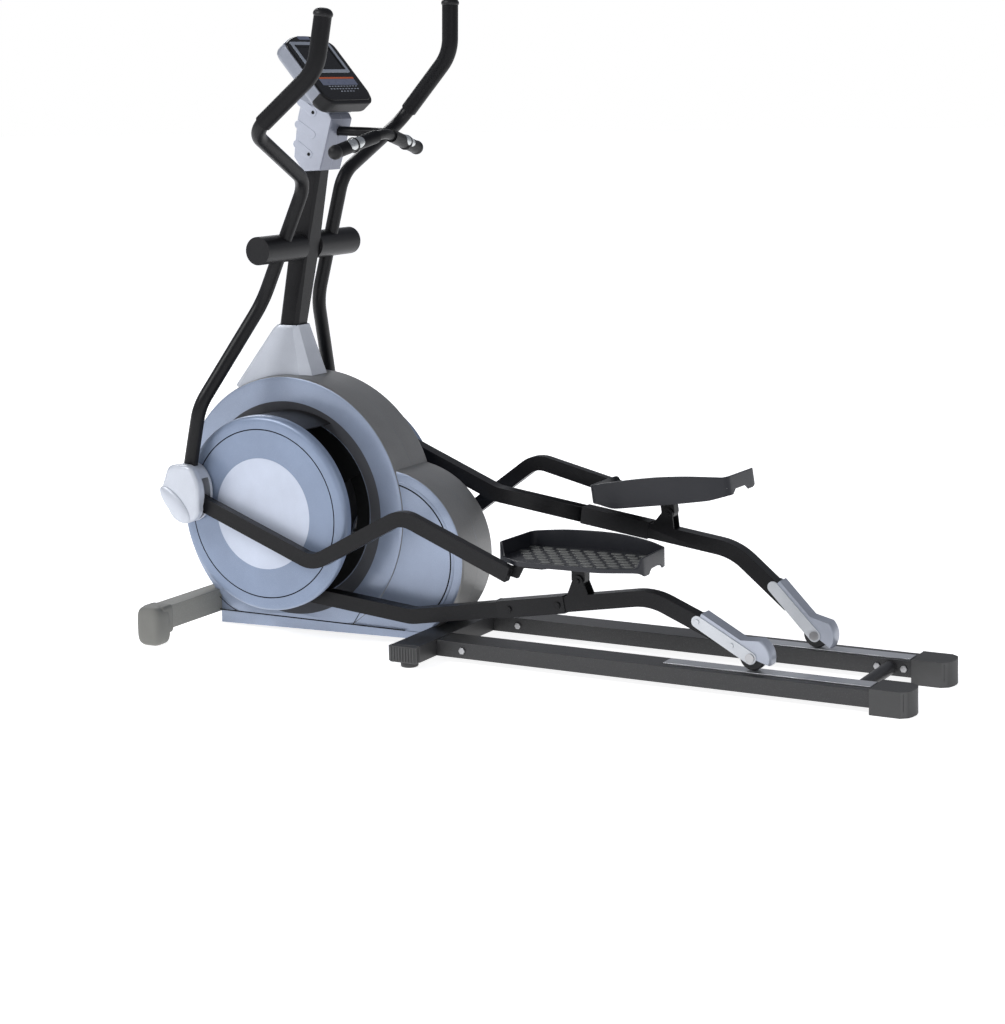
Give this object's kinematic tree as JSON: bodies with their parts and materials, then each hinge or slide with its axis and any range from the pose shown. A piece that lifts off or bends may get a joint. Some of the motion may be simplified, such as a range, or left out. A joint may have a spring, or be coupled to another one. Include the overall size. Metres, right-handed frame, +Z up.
{
  "type": "elliptical trainer",
  "caption": "Elliptical trainer with a covered flywheel drive, swinging handlebars, link arms with foot pedals, roller arms on floor rails and a tilted console.",
  "frame": {"origin": "on the floor, under the middle of the machine's box", "axes": "+X points to the rear of the machine, where the user stands, +Y to its right-hand side, +Z up"},
  "size_m": [2.068, 0.8038, 1.6525],
  "materials": {
    "frame_black": "satin powder coat",
    "rail_paint": "semi-matt powder coat",
    "stabiliser_grey": "satin powder coat",
    "shell_silver": "satin silver-blue paint on plastic",
    "cover_silver": "satin silver paint on plastic",
    "disc_plastic": "satin",
    "black_plastic": "fine textured",
    "grey_plastic": "fine textured",
    "gloss_black": "gloss",
    "lcd_glass": "clear over a dark display",
    "bezel_grey": "metallic",
    "foam": "closed-cell foam",
    "end_rubber": "moulded rubber",
    "roller_rubber": "smooth polyurethane",
    "track_aluminium": "brushed",
    "bracket_silver": "satin silver",
    "steel": "bright",
    "pulse_steel": "satin",
    "flywheel_iron": "machined rim",
    "board_green": "solder resist",
    "key_grey": "silicone"
  },
  "bodies": {
    "frame": {"front_stabiliser": "stabiliser_grey", "front_stabiliser_caps": "grey_plastic", "main_frame": "frame_black", "mid_stabiliser": "rail_paint", "mid_stabiliser_caps": "end_rubber", "left_rail": "rail_paint", "right_rail": "rail_paint", "rail_tracks": "track_aluminium", "rail_cross_tube": "rail_paint", "rail_end_caps": "end_rubber", "frame_bolts": "steel", "housing_left_shell": "shell_silver", "housing_right_shell": "shell_silver", "left_crank_cover": "disc_plastic", "right_crank_cover": "disc_plastic", "crank_shrouds": "black_plastic", "base_covers": "shell_silver", "mast": "frame_black", "mast_boot": "cover_silver", "pivot_shaft": "steel", "column_cover_left": "cover_silver", "column_cover_right": "cover_silver", "console_back_shell": "cover_silver", "console_board": "board_green", "console_face": "gloss_black", "lcd_bezel": "bezel_grey", "lcd_screen": "lcd_glass", "fixed_handlebar": "frame_black", "fixed_handlebar_grips": "foam", "pulse_plates": "pulse_steel", "crank_bearings": "steel", "flywheel_axle": "steel", "drive_belt": "foam", "resistance_motor": "black_plastic"},
    "crank": {"crank_axle": "steel", "drive_pulley": "grey_plastic", "crank_arms": "steel"},
    "flywheel": {"flywheel": "flywheel_iron"},
    "magnet_bracket": {"brake_magnet_bracket": "steel"},
    "key_1": {"console_key_1": "key_grey"},
    "key_2": {"console_key_2": "key_grey"},
    "key_3": {"console_key_3": "key_grey"},
    "left_handlebar": {"left_handlebar": "frame_black", "left_grip": "foam", "left_joint_cover": "cover_silver"},
    "left_roller_carriage": {"left_roller_axle": "steel"},
    "left_roller": {"left_roller_wheel": "roller_rubber"},
    "left_roller_arm": {"left_roller_arm": "frame_black", "left_roller_bracket": "bracket_silver"},
    "left_pedal_link": {"left_link_arm": "frame_black", "left_pedal": "black_plastic"},
    "right_handlebar": {"right_handlebar": "frame_black", "right_grip": "foam", "right_joint_cover": "cover_silver"},
    "right_roller_carriage": {"right_roller_axle": "steel"},
    "right_roller": {"right_roller_wheel": "roller_rubber"},
    "right_roller_arm": {"right_roller_arm": "frame_black", "right_roller_bracket": "bracket_silver"},
    "right_pedal_link": {"right_link_arm": "frame_black", "right_pedal": "black_plastic"}
  },
  "joints": [
    {"name": "left_handlebar_swing", "type": "hinge", "parent": "frame", "child": "left_handlebar", "pos_m": [-0.673, 0, 1.012], "axis": [0, -1, 0], "range_deg": [0, 24.08]},
    {"name": "left_roller_slide", "type": "slide", "parent": "frame", "child": "left_roller_carriage", "axis": [1, 0, 0], "range_m": [0, 0.25892]},
    {"name": "left_roller_spin", "type": "hinge", "parent": "left_roller_carriage", "child": "left_roller", "pos_m": [0.6367, -0.13, 0.0898], "axis": [0, 1, 0], "range_deg": [0, 463.43]},
    {"name": "left_roller_arm_pivot", "type": "hinge", "parent": "left_roller_carriage", "child": "left_roller_arm", "pos_m": [0.6367, -0.13, 0.0898], "axis": [0, -1, 0], "range_deg": [-8.58, 0]},
    {"name": "left_pedal_hinge", "type": "hinge", "parent": "left_roller_arm", "child": "left_pedal_link", "pos_m": [0.18746, -0.13, 0.22958], "axis": [0, -1, 0], "range_deg": [0, 13.86]},
    {"name": "right_handlebar_swing", "type": "hinge", "parent": "frame", "child": "right_handlebar", "pos_m": [-0.673, 0, 1.012], "axis": [0, -1, 0], "range_deg": [-23.45, 0]},
    {"name": "right_roller_slide", "type": "slide", "parent": "frame", "child": "right_roller_carriage", "axis": [1, 0, 0], "range_m": [-0.22673, 0]},
    {"name": "right_roller_spin", "type": "hinge", "parent": "right_roller_carriage", "child": "right_roller", "pos_m": [0.69215, 0.13, 0.0898], "axis": [0, 1, 0], "range_deg": [-405.79, 0]},
    {"name": "right_roller_arm_pivot", "type": "hinge", "parent": "right_roller_carriage", "child": "right_roller_arm", "pos_m": [0.69215, 0.13, 0.0898], "axis": [0, -1, 0], "range_deg": [0, 8.83]},
    {"name": "right_pedal_hinge", "type": "hinge", "parent": "right_roller_arm", "child": "right_pedal_link", "pos_m": [0.30521, 0.13, 0.35743], "axis": [0, -1, 0], "range_deg": [-17.32, 0]},
    {"name": "flywheel_spin", "type": "hinge", "parent": "frame", "child": "flywheel", "pos_m": [-0.395, 0, 0.231], "axis": [0, -1, 0], "continuous": true},
    {"name": "crank_spin", "type": "hinge", "parent": "frame", "child": "crank", "pos_m": [-0.673, 0, 0.343], "axis": [0, -1, 0], "continuous": true},
    {"name": "brake_adjustment", "type": "hinge", "parent": "frame", "child": "magnet_bracket", "pos_m": [-0.549, 0, 0.149], "axis": [0, -1, 0], "range_deg": [-0.8, 4]},
    {"name": "console_key_1_press", "type": "slide", "parent": "frame", "child": "key_1", "axis": [-0.7627, 0, -0.6468], "range_m": [0, 0.0015], "stiffness_N_per_m": 800},
    {"name": "console_key_2_press", "type": "slide", "parent": "frame", "child": "key_2", "axis": [-0.7627, 0, -0.6468], "range_m": [0, 0.0015], "stiffness_N_per_m": 800},
    {"name": "console_key_3_press", "type": "slide", "parent": "frame", "child": "key_3", "axis": [-0.7627, 0, -0.6468], "range_m": [0, 0.0015], "stiffness_N_per_m": 800}
  ],
  "couplings": [
    {"joint": "left_roller_slide", "follows": "left_handlebar_swing", "m_per_rad": 0.61571},
    {"joint": "left_roller_spin", "follows": "left_handlebar_swing", "ratio": 19.241},
    {"joint": "left_roller_arm_pivot", "follows": "left_handlebar_swing", "ratio": -0.35574},
    {"joint": "left_pedal_hinge", "follows": "left_handlebar_swing", "ratio": 0.57489},
    {"joint": "right_handlebar_swing", "follows": "left_handlebar_swing", "ratio": -0.97307},
    {"joint": "right_roller_slide", "follows": "left_handlebar_swing", "m_per_rad": -0.53914},
    {"joint": "right_roller_spin", "follows": "left_handlebar_swing", "ratio": -16.848},
    {"joint": "right_roller_arm_pivot", "follows": "left_handlebar_swing", "ratio": 0.36608},
    {"joint": "right_pedal_hinge", "follows": "left_handlebar_swing", "ratio": -0.71863},
    {"joint": "crank_spin", "follows": "flywheel_spin", "ratio": 0.192}
  ]
}
